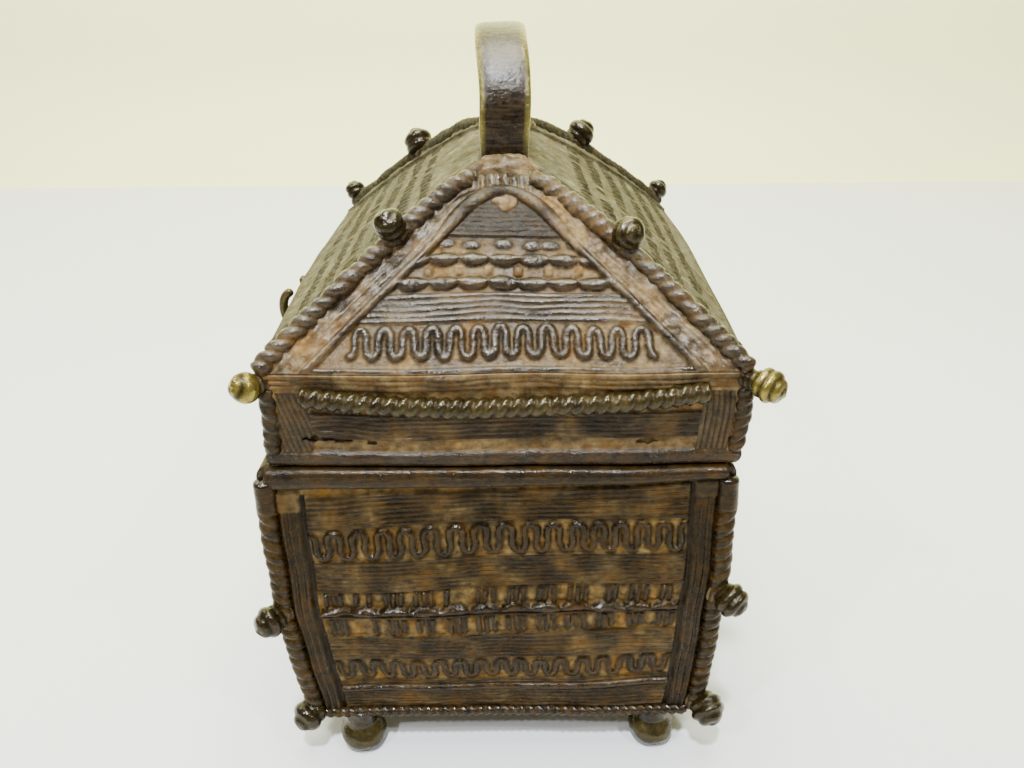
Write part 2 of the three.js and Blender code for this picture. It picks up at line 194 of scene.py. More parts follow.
def sweep(name, path, around, section, material, blunt=2):
    # section gives across, up, relief with painted shade, clay and wear for an angle and a step along the
    # path
    path = np.asarray(path, float)
    steps = len(path) - 1
    ahead = np.gradient(path, axis=0)
    ahead /= np.linalg.norm(ahead, axis=1)[:, None]
    first = np.cross(ahead[0], [0.3, 0.2, 1.0] if abs(ahead[0][2]) < 0.9 else [0, 1.0, 0.1])
    normals = [first / np.linalg.norm(first)]
    for k in range(steps):
        n = normals[-1] - ahead[k + 1] * normals[-1].dot(ahead[k + 1])
        normals.append(n / np.linalg.norm(n))
    normals = np.array(normals)
    sides = np.cross(ahead, normals)
    shut = np.ones(steps + 1)  # the ends close in a few rounded steps
    for k in range(blunt + 1):
        shut[k] = min(shut[k], math.sqrt(max(0, 1 - (1 - k / (blunt + 0.6)) ** 2))) if k else 0
        shut[steps - k] = shut[k]

    def place(angle, j):
        a, b, *looks = section(angle, j)
        return path[j] + shut[j][:, None] * (a[:, None] * normals[j] + b[:, None] * sides[j]), looks

    return wrap(name, around, steps, place, material)


def evenPath(points, step):  # a smooth line through the points, in equal steps
    points = np.asarray(points, float)
    fine = []
    padded = np.vstack([2 * points[0] - points[1], points, 2 * points[-1] - points[-2]])
    for k in range(1, len(padded) - 2):
        a, b, c, d = padded[k - 1 : k + 3]
        for t in np.linspace(0, 1, 24, endpoint=False):
            curve = 2 * b + (c - a) * t + (2 * a - 5 * b + 4 * c - d) * t**2
            fine.append(0.5 * (curve + (3 * b - a - 3 * c + d) * t**3))
    fine.append(points[-1])
    fine = np.array(fine)
    run = np.concatenate([[0], np.cumsum(np.linalg.norm(np.diff(fine, axis=0), axis=1))])
    count = max(4, int(round(run[-1] / step)))
    at = np.linspace(0, run[-1], count + 1)
    return np.stack([np.interp(at, run, fine[:, k]) for k in range(3)], -1)


# relief, worked out flat: x runs across, q runs along the rows

def wireGap(x, q, line):  # distance from each place to a line of points
    best = np.full(x.shape, 9.0)
    line = np.asarray(line)
    for k in range(0, len(line) - 1, 24):
        part = line[k : k + 25]
        low, high = part.min(0) - 1.5, part.max(0) + 1.5
        near = np.nonzero((x > low[0]) & (x < high[0]) & (q > low[1]) & (q < high[1]))[0]
        if not len(near):
            continue
        a, b = part[:-1], part[1:]
        d = b - a
        px, py = x[near][:, None] - a[:, 0], q[near][:, None] - a[:, 1]
        t = np.clip((px * d[:, 0] + py * d[:, 1]) / (d**2).sum(1).clip(1e-9), 0, 1)
        best[near] = np.minimum(best[near], np.hypot(px - t * d[:, 0], py - t * d[:, 1]).min(1))
    return best


def meanderLine(low, high, left, right, pitch, seed, curl):  # loops of one wax thread laid in a wave
    rng = np.random.default_rng(seed)
    count = max(2, int(round((right - left) / pitch)))
    s = np.linspace(0, 1, 25)
    turn = curl * np.sin(2 * math.pi * s)
    dx, dy = np.cos(turn), np.sin(turn)
    px = np.concatenate([[0], np.cumsum((dx[1:] + dx[:-1]) / 2)])
    py = np.concatenate([[0], np.cumsum((dy[1:] + dy[:-1]) / 2)])
    px, py = px / px[-1], py / py.max()
    widths = rng.uniform(0.86, 1.14, count)
    starts = left + np.concatenate([[0], np.cumsum(widths)]) / widths.sum() * (right - left)
    line = []
    for k in range(count):
        tall, lift = rng.uniform(0.9, 1.0), rng.uniform(-0.2, 0.2)
        lean = rng.uniform(-0.25, 0.25)
        for a, b in zip(px[:-1], py[:-1]):
            y = (b - 0.5) * tall
            x = starts[k] + a * (starts[k + 1] - starts[k]) + lean * y
            line.append((x, (low + high) / 2 + y * (high - low) + lift))
    return line


def threads(x, q, low, high, seed, depth, base):
    count = max(1, int(round((high - low) / threadPitch)))
    ends = smooth((q - low) / 1.5) * smooth((high - q) / 1.5)
    f = (q - low + 0.45 * wobble(x, q / 3, 8, seed + 6) * ends) / (high - low) * count
    k = np.clip(np.floor(f), 0, count - 1)
    ridge = ridged(f, k)
    faded = 0.7 + 0.45 * wobble(x, k * 7.3, 9, seed) + 0.25 * wobble(x, k * 3.1, 2.3, seed + 1)
    faded = np.clip(faded, 0.1, 1.15)
    h = base + depth * ridge * faded + 0.07 * wobble(x, q, 5, seed + 2)
    dirt = 0.6 * (1 - ridge) ** 1.5 + 0.02 + 0.28 * wobble(x, q, 5, seed + 4)
    # the valleys between threads get low reliefAndShade, so the shader paints shade in them
    return h, 0.3 + 0.7 * ridge * faded, dirt


def combGap(x, q, low, high, half, more, seed):  # groups of short wires that stand side by side
    rng = np.random.default_rng(seed)
    gap = np.full(x.shape, 9.0)
    for group in np.arange(-half + more["pitch"] / 2, half - 1, more["pitch"]):
        for k in range(more["wires"]):
            at = group + (k - (more["wires"] - 1) / 2) * more["spread"] + rng.uniform(-0.2, 0.2)
            if more["miss"] > rng.uniform():
                continue
            lean = rng.uniform(-0.3, 0.3)
            line = [(at, low + rng.uniform(0.3, 0.9)), (at + lean, high - rng.uniform(0.3, 0.9))]
            gap = np.minimum(gap, wireGap(x, q, line))
    return gap


def plugs(x, q, low, high, half, more):  # clay pressed in between the groups
    at = (x + half) / more["pitch"]
    plug = np.clip(np.abs(at - np.rint(at)) * more["pitch"] / 1.1, 0, 1)
    return (1 - plug**2) * np.clip(1 - np.abs(2 * (q - low) / (high - low) - 1) ** 3, 0, 1) * more["plug"]


rowDefaults = {
    "threads": {"depth": 0.5, "base": 0.3}, "plain": {"base": 0.3, "clay": 0.4}, "roll": {"clay": 0.12},
    "meander": {"thick": 0.95, "rise": 1.0, "curl": 1.75}, "crimp": {"pitch": 6.8}, "bumps": {"rise": 0.45},
    "comb": {"pitch": 6.8, "wires": 3, "spread": 1.6, "miss": 0.08, "plug": 0.5, "thick": 0.68, "rise": 0.9},
}


def layRows(x, q, rows, seed, half):  # every row of ornament between the corner strips
    # reliefAndShade is low in hollows and at the foot of wires, where the shader paints shade
    h = 0.08 * wobble(x, q, 2.5, seed) + 0.04 * wobble(x, q, 0.9, seed + 5)
    reliefAndShade = np.full(x.shape, 0.62)
    clay = 0.85 * (0.8 + 0.3 * wobble(x, q, 3, seed + 9))
    for n, (kind, low, high, *given) in enumerate(rows):
        more = {**rowDefaults[kind], **(given[0] if given else {})}
        s = seed + 17 * (n + 1)
        flat = kind in ("threads", "plain", "roll")
        margin = 0.02 if flat else 1.2
        near = np.nonzero((q >= low - margin) & (q <= high + margin))[0]
        px, pq = x[near], q[near]
        if kind == "threads":
            h[near], reliefAndShade[near], clay[near] = threads(px, pq, low, high, s, more["depth"], more["base"])
        elif kind == "plain":
            bumps = wobble(px, pq, 2.2, s) + 0.6 * wobble(px, pq, 6, s + 1)
            h[near], reliefAndShade[near], clay[near] = more["base"] + 0.1 * bumps, 0.6 + 0.2 * bumps, more["clay"]
        elif kind == "roll":
            bulge = np.sqrt(np.clip(ridged((pq - low) / (high - low), 0), 0, 1))
            h[near] = 0.1 + more["proud"] * bulge + 0.08 * wobble(px, pq, 4, s)
            reliefAndShade[near] = 0.25 + 0.75 * bulge
            clay[near] = more["clay"] * (1 - bulge) + 0.03
        elif kind == "meander":
            left, right = more.get("left", -half), more.get("right", half)
            line = meanderLine(low + 0.7, high - 0.7, left, right, more["pitch"], s, more["curl"])
            gap = wireGap(px, pq, line)
        elif kind == "comb":
            gap = combGap(px, pq, low, high, half, more, s)
            plug = plugs(px, pq, low, high, half, more)
            h[near] = np.maximum(h[near], plug)
            clay[near] = np.maximum(clay[near], plug * 1.9)
        elif kind == "crimp":  # one thick roll, pinched at even steps into a chain
            u = np.arange(-half, half, 0.3)
            arc = np.abs(np.sin((u + half) * math.pi / more["pitch"])) ** 0.45
            middle = (low + high) / 2 + 0.25 * wobble(u, 0 * u, 7, s) - 0.35 * arc + 0.2
            full = 0.15 + 0.85 * np.interp(px, u, arc)
            gap = np.abs(pq - np.interp(px, u, middle)) / full / ((high - low) / 2 - 0.15)
        else:  # bumps
            rng = np.random.default_rng(s)
            gap = np.full(px.shape, 9.0)
            for at in np.arange(-half + 2, half - 1, more["pitch"]):
                a = at + rng.uniform(-1.2, 1.2)
                down = pq - (low + high) / 2 - rng.uniform(-0.3, 0.3)
                gap = np.minimum(gap, np.hypot((px - a) * 0.6, down) * 0.6)
            more["thick"] = rng.uniform(0.75, 0.95)
        if flat:
            continue
        thick = more["thick"] * (1 + 0.14 * wobble(px, pq, 3.1, s + 2))
        top = np.clip(1 - (gap / thick) ** 2, 0, 1) ** 0.7
        top *= np.clip(0.88 + 0.3 * wobble(px, pq, 3.3, s + 3) + 0.12 * wobble(px, pq, 1.1, s + 4), 0.3, 1.1)
        h[near] = np.maximum(h[near], more["rise"] * top)
        reliefAndShade[near] = np.where(top > 0, 0.15 + 0.85 * top, reliefAndShade[near])
        wireShade = np.clip(thick + 0.4 - gap, 0, 0.4) / 0.4 * (top <= 0)  # painted shade: a dark line beside each wire
        reliefAndShade[near] -= 0.35 * wireShade
        clay[near] = np.where(top > 0.12, 0.05, clay[near])
    return [h, reliefAndShade, clay]


def put(skin, here, *fresh):  # new height, relief with painted shade, and clay where the mask is true
    return [np.where(here, new, old) for new, old in zip(fresh, skin)] + skin[len(fresh) :]


# materials

def patina(name, look):
    material = bpy.data.materials.new(name)
    material.use_nodes = True
    tree = material.node_tree
    nodes, links = tree.nodes, tree.links
    shader = nodes["Principled BSDF"]
    where = nodes.new("ShaderNodeTexCoord")

    def feed(socket, value):
        if isinstance(value, tuple):
            socket.default_value = (*value, 1)
        elif isinstance(value, (int, float)):
            socket.default_value = value
        else:
            links.new(value, socket)

    def noise(scale, detail, rough=0.55, place=where.outputs["Object"]):
        n = nodes.new("ShaderNodeTexNoise")
        for key, value in (("Vector", place), ("Scale", scale), ("Detail", detail), ("Roughness", rough)):
            feed(n.inputs[key], value)
        return n.outputs["Fac"]

    def ramp(value, *stops):
        r = nodes.new("ShaderNodeValToRGB")
        for e, (at, level) in zip(r.color_ramp.elements, stops):
            e.position = at
            e.color = (level, level, level, 1)
        feed(r.inputs["Fac"], value)
        return r.outputs["Color"]

    def combine(kind, a, b):
        m = nodes.new("ShaderNodeMath")
        m.operation = kind
        m.use_clamp = True
        feed(m.inputs[0], a)
        feed(m.inputs[1], b)
        return m.outputs[0]

    def times(a, b):
        return combine("MULTIPLY", a, b)

    def mix(fac, a, b, kind="MIX"):
        m = nodes.new("ShaderNodeMix")
        m.data_type = "RGBA"
        m.blend_type = kind
        for at, value in ((0, fac), (6, a), (7, b)):
            feed(m.inputs[at], value)
        return m.outputs[2]

    def bump(depth, height, under=None):
        b = nodes.new("ShaderNodeBump")
        feed(b.inputs["Distance"], depth)
        feed(b.inputs["Height"], height)
        if under:
            feed(b.inputs["Normal"], under)
        return b.outputs["Normal"]

    def layer(key):
        a = nodes.new("ShaderNodeAttribute")
        a.attribute_name = key
        return a.outputs["Fac"]

    reliefAndShade, clay, wear = layer("reliefAndShade"), layer("clay"), layer("wear")
    along = nodes.new("ShaderNodeMapping")
    feed(along.inputs["Vector"], where.outputs["Object"])
    along.inputs["Scale"].default_value = look["streaks"]
    speckle = noise(620, 4)
    streaks = noise(1, 3, place=along.outputs["Vector"])
    brown = mix(ramp(speckle, (0.35, 0.0), (0.7, 1.0)), look["dark"], look["mid"])
    brown = mix(ramp(streaks, (0.45, 0.0), (0.75, 0.6)), brown, look["light"])
    patches = ramp(noise(look["patchScale"], 6, 0.65), *look["stainStops"])
    stain = times(patches, ramp(noise(480, 3), (0.35, 0.2), (0.6, 1.0)))
    clayHere = times(clay, ramp(noise(130, 4), *look["clayStops"]))
    settled = times(ramp(noise(48, 5), *look["dustStops"]), ramp(clay, (0.0, 0.08), (0.4, 1.0)))
    clayHere = combine("ADD", clayHere, times(settled, look["dust"]))
    soil = mix(ramp(speckle, (0.3, 0.0), (0.75, 1.0)), look["clayDark"], look["clay"])
    soil = mix(stain, soil, look["stain"])  # rust colours what lies in the hollows far more than the ridges
    brown = mix(times(stain, 0.16), brown, look["stain"])
    wearHere = times(wear, ramp(noise(260, 3), (0.3, 0.25), (0.55, 1.0)))
    worn = mix(wearHere, mix(clayHere, brown, soil), look["brass"])
    # painted shade: the colour darkens where reliefAndShade is low, down to hollowShade in the deepest
    # hollows and grooves
    shaded = mix(1.0, worn, ramp(reliefAndShade, (0.0, look["hollowShade"]), (0.75, 1.0)), "MULTIPLY")
    grains = ramp(noise(900, 3), (0.3, look["gloss"]), (0.75, look["gloss"] + 0.25))
    metal = combine("SUBTRACT", combine("ADD", times(wearHere, 0.6), look["metal"]), clayHere)
    facing = nodes.new("ShaderNodeSeparateXYZ")  # what faces up has been handled and is the glossiest
    feed(facing.inputs[0], where.outputs["Normal"])
    gleam = ramp(reliefAndShade, (look["gleamFrom"], 0.06), (0.92, look["coat"]))
    gleam = times(combine("SUBTRACT", 1.0, clayHere), gleam)
    gleam = times(gleam, ramp(facing.outputs["Z"], (0.08, look["sideGleam"]), (0.55, 1.0)))
    normal = bump(look["streakDepth"], streaks)
    normal = bump(look["grainDepth"], noise(520, 5, 0.65), normal)
    normal = bump(look["grainDepth"] * 0.5, noise(1500, 3, 0.6), normal)
    for key, value in {
        "Base Color": shaded, "Roughness": combine("ADD", times(clayHere, 0.5), grains), "Metallic": metal,
        "Specular IOR Level": look["specular"], "Specular Tint": look["tint"], "Coat Weight": gleam,
        "Coat Roughness": look["coatRough"], "Normal": normal, "Coat Normal": normal,
    }.items():
        feed(shader.inputs[key], value)
    return material


bodyLook = {
    "dark": (0.0016, 0.0007, 0.00015), "mid": (0.006, 0.0028, 0.0005), "light": (0.02, 0.0105, 0.0018),
    "stain": (0.21, 0.088, 0.005), "stainStops": [(0.44, 0.0), (0.66, 0.9)],
    "gleamFrom": 0.6, "sideGleam": 0.1,
    "clay": (0.36, 0.235, 0.085), "clayDark": (0.052, 0.027, 0.004), "clayStops": [(0.32, 0.3), (0.6, 1.0)],
    "dust": 0.0, "dustStops": [(0.5, 0.0), (0.7, 1.0)], "brass": (0.2, 0.14, 0.02), "hollowShade": 0.2,
    "patchScale": 150, "streaks": (150.0, 150.0, 1700.0), "gloss": 0.2, "metal": 0.2, "specular": 0.12,
    "tint": (1.0, 0.85, 0.65), "coat": 1.0, "coatRough": 0.14, "streakDepth": 0.00008, "grainDepth": 0.00016,
}
# partly patina, partly painted sheen: mid and light are raised so the threads read lighter, standing in for
# their glints
lidSheenLook = {
    **bodyLook,
    "dark": (0.0028, 0.0015, 0.0006), "mid": (0.022, 0.0135, 0.0065), "light": (0.085, 0.06, 0.034),
    "clay": (0.32, 0.226, 0.112), "clayDark": (0.09, 0.052, 0.02), "tint": (1.0, 0.95, 0.9),
    "dust": 0.75, "gleamFrom": 0.3, "sideGleam": 0.3,
    "stain": (0.17, 0.075, 0.011), "coatRough": 0.18,
    "dustStops": [(0.46, 0.0), (0.64, 1.0)], "stainStops": [(0.46, 0.0), (0.62, 0.85)], "grainDepth": 0.0003,
}
skirtLook = {
    **lidSheenLook,
    "dark": (0.0018, 0.0009, 0.0003), "mid": (0.0075, 0.0038, 0.001), "light": (0.03, 0.018, 0.006),
    "clay": (0.32, 0.215, 0.09), "dust": 0.35, "gleamFrom": 0.5, "sideGleam": 0.15,
}
# partly patina, partly painted reflection: a lighter olive grey stands in for the pale backdrop reflected at
# a grazing angle
slopeSheenLook = {
    **lidSheenLook,
    "dark": (0.012, 0.0095, 0.004), "mid": (0.036, 0.03, 0.013), "light": (0.09, 0.078, 0.034),
    "clay": (0.25, 0.225, 0.135), "clayDark": (0.085, 0.072, 0.03), "clayStops": [(0.3, 0.35), (0.6, 1.0)],
    "stain": (0.09, 0.06, 0.01), "dust": 0.2, "gloss": 0.35, "coat": 0.06, "coatRough": 0.3,
}
polishedLook = {
    **bodyLook,
    "dark": (0.0025, 0.0015, 0.0005), "mid": (0.01, 0.006, 0.0016), "light": (0.022, 0.014, 0.004),
    "brass": (0.26, 0.2, 0.04), "stain": (0.035, 0.017, 0.002), "tint": (1.0, 0.95, 0.85), "gloss": 0.12,
    "metal": 0.3, "coat": 0.6, "gleamFrom": 0.3, "sideGleam": 0.4, "coatRough": 0.1,
    "streakDepth": 0.00004, "grainDepth": 0.00012, "hollowShade": 0.15,
}
strapLook = {
    **polishedLook,
    "mid": (0.028, 0.0165, 0.0075), "light": (0.065, 0.043, 0.022), "brass": (0.3, 0.25, 0.06),
    "coat": 0.7, "coatRough": 0.24, "grainDepth": 0.0002,
}
plainLook = {**bodyLook, "streakDepth": 0.0001, "gloss": 0.45, "coat": 0.03}
bodyBrass = patina("body_patina", bodyLook)
lidSheenBrass = patina("lid_patina_and_sheen", lidSheenLook)
skirtBrass = patina("skirt_patina", skirtLook)
slopeSheenBrass = patina("slope_patina_and_sheen", slopeSheenLook)
rubbedBrass = patina("rubbed_brass", polishedLook)
strapBrass = patina("strap_brass", strapLook)
insideBrass = patina("inside_brass", plainLook)
print("materials made")


# body

walls = {
    "rows": [
        ("roll", 0.0, 5.0, {"proud": 1.9}),
        ("threads", 6.1, 14.2),
        ("meander", 14.5, 23.4, {"pitch": 4.9, "curl": 1.74, "rise": 1.1, "thick": 0.86}),
        ("threads", 23.7, 33.0),
        ("comb", 33.3, 38.2),
        ("crimp", 37.9, 41.1, {"thick": 1.05, "rise": 1.95}),
        ("threads", 40.9, 42.0, {"base": 0.35}),
        ("comb", 42.0, 47.2),
        ("threads", 47.6, 56.1),
        ("meander", 56.4, 63.2, {"pitch": 5.1, "thick": 0.88, "rise": 0.85, "curl": 1.6}),
        ("threads", 63.4, 65.6, {"base": 0.2}),
        ("roll", 65.7, 67.8, {"proud": 1.3}),
        ("threads", 68.0, 76.2),
        ("plain", 76.2, 77.3, {"base": 0.4}),
    ],
    # how far each row dips at its left and rises at its right end, on the near wall
    "slant": [
        (0, 0, 0), (5, 0.4, -1.6), (6.1, 1.5, -1.8), (14.4, 3.2, -0.5), (23.3, 2.0, -1.4), (33, 2.4, -1.5),
        (39.9, 1.2, -1.2), (47.4, 1.7, -2.6), (56.3, 1.4, -1), (63, 1.5, -1), (66.6, 0.8, -2.2), (77, 0, 0),
    ],
    "plainSlant": [(0, 0, 0), (14, 0.5, -0.4), (40, -0.6, 0.5), (60, 0.6, -0.3), (77, 0, 0)],
    "drop": 77.4, "border": 7.0, "strip": 5.2, "rim": 5.4,
}


def columnPlaces(half, inner, strip, stripColumns, middleColumns):
    # evenly spaced columns between the strips, and finer ones across each strip
    left = np.linspace(-half, -inner - strip, 4)[:-1]
    leftStrip = np.linspace(-inner - strip, -inner, stripColumns + 1)[:-1]
    middle = np.linspace(-inner, inner, middleColumns + 1)
    return np.concatenate([left, leftStrip, middle, -leftStrip[::-1], -left[::-1]])


def wallPanel(name, side, fineness, seed, slant):
    span, reach = spanReach(box, side)
    inner, strip = span - walls["border"], walls["strip"]
    xs = columnPlaces(span, inner, strip, 16 if fineness < 0.5 else 12, int(2 * inner / fineness))
    rows = int(round(walls["drop"] / threadPitch * (4 if fineness < 0.5 else 3)))

    def place(i, j, back):
        x, q = xs[i], walls["drop"] * (1 - j / rows)
        skin = layRows(x, q, walls["rows"], seed, inner - 0.6)
        edge = np.abs(x)
        f = (edge - inner - 0.5) / (strip - 0.5) * 3
        k = np.clip(np.floor(f), 0, 2)
        ridge = ridged(f, k)
        faded = np.clip(0.85 + 0.35 * wobble(q, k * 5 + np.sign(x) * 9, 8, seed + 3), 0.2, 1.1)
        inStrip = (edge > inner + 0.5) & (q > 6.2) & (q < 76.6)
        dirt = 0.3 * (1 - ridge) ** 2
        skin = put(skin, inStrip, 0.35 + 0.9 * ridge * faded, 0.2 + 0.8 * ridge * faded, dirt)
        head = (edge > inner + 0.5) & (q > walls["rim"]) & (q < 9.2)  # each strip's flat end
        # the left head gets extra clay, a painted highlight that lightens it
        skin = put(skin, head, 0.9 + 0.12 * wobble(x, q, 2, seed), 0.8, 0.1 + 0.2 * (x < 0))
        skin = put(skin, (edge > inner - 0.4) & (edge <= inner + 0.5) & (q > 6), 0, 0, 0.1)  # a groove, painted dark as shade
        # painted shade at the outer edge, under the corner rope
        skin = put(skin, (edge > inner + strip + 0.1) & (q > walls["rim"]), 0.2, 0.2)
        h, reliefAndShade, clay = put(skin, back, -1.4)
        lines = np.array(slant)
        s = x / span
        leftDip, rightDip = np.interp(q, lines[:, 0], lines[:, 1]), np.interp(q, lines[:, 0], lines[:, 2])
        drop = q + (rightDip - leftDip) / 2 * s + (leftDip + rightDip) / 2 * s * s
        drop = drop + 0.25 * wobble(x, q, 14, seed + 8) * np.minimum(1, q / 6) * smooth((77 - q) / 6)
        return shapeBox(turned(side, x, reach + h, boxTop - np.clip(drop, 0, 77.2))), (reliefAndShade, clay, 0)

    return drape(name, len(xs) - 1, rows, place, bodyBrass)


bodyPieces = [
    wallPanel("near_wall", 0, 0.36, 11, walls["slant"]),
    wallPanel("right_wall", 1, 0.55, 23, walls["plainSlant"]),
    wallPanel("far_wall", 2, 0.6, 37, walls["plainSlant"]),
    wallPanel("left_wall", 3, 0.55, 41, walls["plainSlant"]),
]
print("wall relief made")


def shell(name, mesh, thickness):
    bmesh.ops.recalc_face_normals(mesh, faces=mesh.faces)
    piece = toPiece(name, mesh, insideBrass)
    wall = piece.modifiers.new("wall", "SOLIDIFY")
    wall.thickness = thickness * 0.001
    wall.offset = -1
    return piece


def core(name, half, low, high, openTop, shape, levels, thickness):
    # a box with one open end, bent to shape and then given its wall
    mesh = bmesh.new()
    bmesh.ops.create_cube(mesh, size=2.0)
    upright = [e for e in mesh.edges if abs(e.verts[0].co.z - e.verts[1].co.z) > 1]
    bmesh.ops.subdivide_edges(mesh, edges=upright, cuts=levels, use_grid_fill=True)
    level = [e for e in mesh.edges if abs(e.verts[0].co.z - e.verts[1].co.z) < 1e-4]
    bmesh.ops.subdivide_edges(mesh, edges=level, cuts=6, use_grid_fill=True)
    mouth = 1 if openTop else -1
    gone = [f for f in mesh.faces if all(abs(v.co.z - mouth) < 1e-4 for v in f.verts)]
    bmesh.ops.delete(mesh, geom=gone, context="FACES")
    co = np.array([v.co[:] for v in mesh.verts])
    co[:, 2] = lerp(low, high, (co[:, 2] + 1) / 2)
    co = (shape(co, half) + rowShift) * 0.001
    for v, p in zip(mesh.verts, co):
        v.co = p
    for key, value in (("reliefAndShade", 0.8), ("clay", 0.25), ("wear", 0.0)):
        layer = mesh.verts.layers.float.new(key)
        for v in mesh.verts:
            v[layer] = value
    return shell(name, mesh, thickness)


def boxCore(co, half):
    co[:, 0] *= half[0]
    co[:, 1] *= half[1]
    return shapeBox(co)


bodyHalf = box["halfWidth"] - 0.5, box["halfLength"] - 0.5
bodyCore = core("body_core", bodyHalf, box["underside"], boxTop - 0.3, True, boxCore, 12, box["wall"] - 0.6)

lip = {"rise": 3.5, "depth": 3.5, "outer": 4.2, "thickness": 1.6}


def makeLip():
    mesh = bmesh.new()
    bmesh.ops.create_cube(mesh, size=2.0)
    ends = [f for f in mesh.faces if abs(f.normal.z) > 0.9]
    bmesh.ops.delete(mesh, geom=ends, context="FACES_ONLY")
    for v in mesh.verts:
        v.co.x *= roof["halfWidth"] - lip["outer"]
        v.co.y *= roof["halfLength"] - lip["outer"]
        v.co.x += roof["shift"]
        v.co.z = boxTop + (lip["rise"] if v.co.z > 0 else -lip["depth"])
        v.co = (v.co + Vector(rowShift)) * 0.001
    piece = shell("body_lip", mesh, lip["thickness"])
    edge = piece.modifiers.new("edge", "BEVEL")
    edge.width = 0.0003
    edge.segments = 2
    return piece


bodyPieces += [bodyCore, makeLip()]


# ropes, knobs and feet

def twist(radius, pitch, step, seed, worn=0.0, depth=0.3, clay=0.3, hand=1, uneven=1.0, plainFrom=1e9):
    # two strands laid round each other, seen as one outline that turns along the rope
    rng = np.random.default_rng(seed)
    lumps = rng.uniform(-1, 1, 400)

    def drift(j, every, row):
        a = j / every
        k = np.floor(a).astype(int)
        return lerp(lumps[(k + row) % 400], lumps[(k + 1 + row) % 400], smooth(a - k))

    def section(angle, j):
        turn = hand * 2 * math.pi * j * step / pitch + 0.8 * uneven * drift(j, 14, 0)
        f = np.abs(np.cos(angle - turn))
        filled = 0.85 + 0.35 * uneven * drift(j, 11, 60)  # some of the grooves are filled or worn away
        filled = filled * (1 - smooth((j - plainFrom) / 3))
        r = radius * (1 - depth * filled * (1 - f) ** 1.3) * (1 + 0.06 * uneven * drift(j, 6, 130))
        top = np.maximum(f**0.8, smooth((j - plainFrom) / 3))
        # painted shade: the grooves between strands get low reliefAndShade
        return r * np.cos(angle), r * np.sin(angle), 0.05 + 0.95 * top, clay * (1 - top), worn * top

    return section


ropes = {"corner": 2.35, "cornerPitch": 6.8, "foot": 1.5, "footPitch": 4.4, "step": 0.45}


def cornerRope(name, x, y, seed):
    z = np.linspace(boxTop - 75.5, boxTop - 2.6, 30)
    points = np.stack([x * (box["halfWidth"] + 0.35) + 0 * z, y * (box["halfLength"] + 0.35) + 0 * z, z], -1)
    step = ropes["step"]
    section = twist(ropes["corner"], ropes["cornerPitch"], step, seed, 0.0, 0.42, 0.45, -x * y, 0.6, 142)
    return sweep(name, evenPath(shapeBox(points), step), 16, section, bodyBrass)


def footRope(name, side, seed):
    span, reach = spanReach(box, side)
    s = np.linspace(-1, 1, 24)
    points = turned(side, s * (span - 0.6), reach + 0.7 + 0 * s, boxTop - 76.1 + 0 * s)
    section = twist(ropes["foot"], ropes["footPitch"], ropes["step"], seed, 0.0, 0.45, uneven=0.5)
    return sweep(name, evenPath(shapeBox(points), ropes["step"]), 12, section, bodyBrass)


corners = [(-1, -1), (1, -1), (1, 1), (-1, 1)]
sideNames = ["near", "right", "far", "left"]
cornerNames = ["near_left", "near_right", "far_right", "far_left"]
for n, (x, y) in enumerate(corners):
    bodyPieces.append(cornerRope(f"corner_rope_{cornerNames[n]}", x, y, 60 + n))
for side in range(4):
    bodyPieces.append(footRope(f"foot_rope_{sideNames[side]}", side, 70 + side))


def coilKnob(name, root, centre, radius, turns, lean, material, seed, worn=0.1, depth=0.17):
    # a ball wound from one wax thread: the groove runs round it in a spiral
    root, centre = np.asarray(root, float), np.asarray(centre, float)
    axis = centre - root
    axis = axis / np.linalg.norm(axis) + np.asarray(lean, float)
    axis /= np.linalg.norm(axis)
    side = np.cross(axis, [0.2, 0.1, 1.0])
    side /= np.linalg.norm(side)
    other = np.cross(axis, side)
    around, rows = 28, 26

    def place(angle, j):
        polar = math.pi * j / rows
        wound = polar / math.pi * turns + angle / (2 * math.pi)
        groove = np.abs(2 * (wound - np.floor(wound)) - 1) ** 2.2
        r = radius * (1 - depth * groove * np.sin(polar)) * (1 + 0.03 * np.sin(3 * angle + seed))
        inward = r * np.sin(polar)
        p = centre + (-np.cos(polar) * r * 0.97)[:, None] * axis
        p = p + inward[:, None] * (np.cos(angle)[:, None] * side + np.sin(angle)[:, None] * other)
        # painted shade: the spiral groove gets low reliefAndShade
        return p, (1 - 0.95 * groove, 0.15 * groove, worn * (1 - groove))

    ball = wrap(name, around, rows, place, material)
    path = evenPath([root, (root + centre) / 2, centre], 0.4)

    def ringed(angle, j):
        out = radius * 0.6 + 0.2 * np.cos(j * 2.2)
        # painted shade between the rings of the stem
        return out * np.cos(angle), out * np.sin(angle), 0.5 + 0.4 * np.cos(j * 2.2), 0.4, 0.0

    stem = sweep(name + "_stem", path, 14, ringed, material)
    return [ball, stem]


